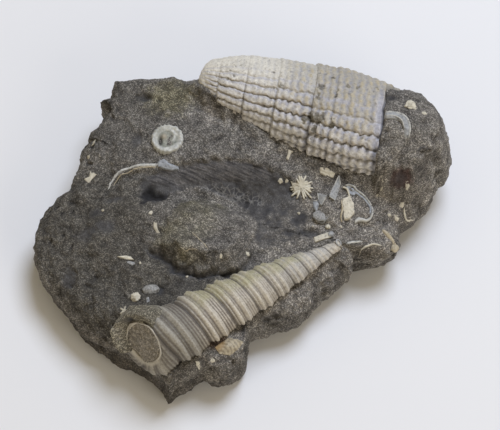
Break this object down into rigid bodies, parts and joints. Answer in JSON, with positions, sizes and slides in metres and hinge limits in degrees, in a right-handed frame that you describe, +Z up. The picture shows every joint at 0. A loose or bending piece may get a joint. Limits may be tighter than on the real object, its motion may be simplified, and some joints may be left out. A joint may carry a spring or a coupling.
{
  "type": "fossil snail",
  "caption": "Piece of dark sandy rock holding a netted fossil snail shell, a long turret shell, a small coiled snail and scattered chips of shell; lies on its flat underside.",
  "frame": {"origin": "middle of the bounding box on the resting plane", "axes": "+X along the long side, from the turret shell's wide end towards the netted shell's open end; +Y towards the netted shell; +Z up"},
  "size_m": [0.0847, 0.0701, 0.0292],
  "materials": {
    "dark_sandstone": "rough, matt",
    "netted_shell": "worn matt shell",
    "turret_shell": "worn matt shell",
    "cream_bits": "matt shell",
    "grey_bits": "satin shell",
    "tan_bits": "matt shell"
  },
  "bodies": {
    "root": {"chip_by_netted_shell": "cream_bits", "clam_edge_arc": "netted_shell", "cockle_piece": "tan_bits", "coiled_snail": "cream_bits", "cream_pebble": "cream_bits", "cream_shard": "cream_bits", "cream_spot": "cream_bits", "cream_tuft": "cream_bits", "crescent_edge": "netted_shell", "grey_pebble": "grey_bits", "grey_shard": "grey_bits", "left_flake": "cream_bits", "matrix_block": "dark_sandstone", "mid_flake": "cream_bits", "mottled_shard": "grey_bits", "mouth_fill": "dark_sandstone", "netted_snail": "netted_shell", "paired_chip": "cream_bits", "rod_fragment": "cream_bits", "splinter_shard": "grey_bits", "tan_rod": "tan_bits", "thin_arc": "netted_shell", "thin_rod": "netted_shell", "turret_snail": "turret_shell", "tusk_tube": "grey_bits", "twig_by_netted_shell": "cream_bits", "yellow_bead": "cream_bits"}
  },
  "joints": []
}
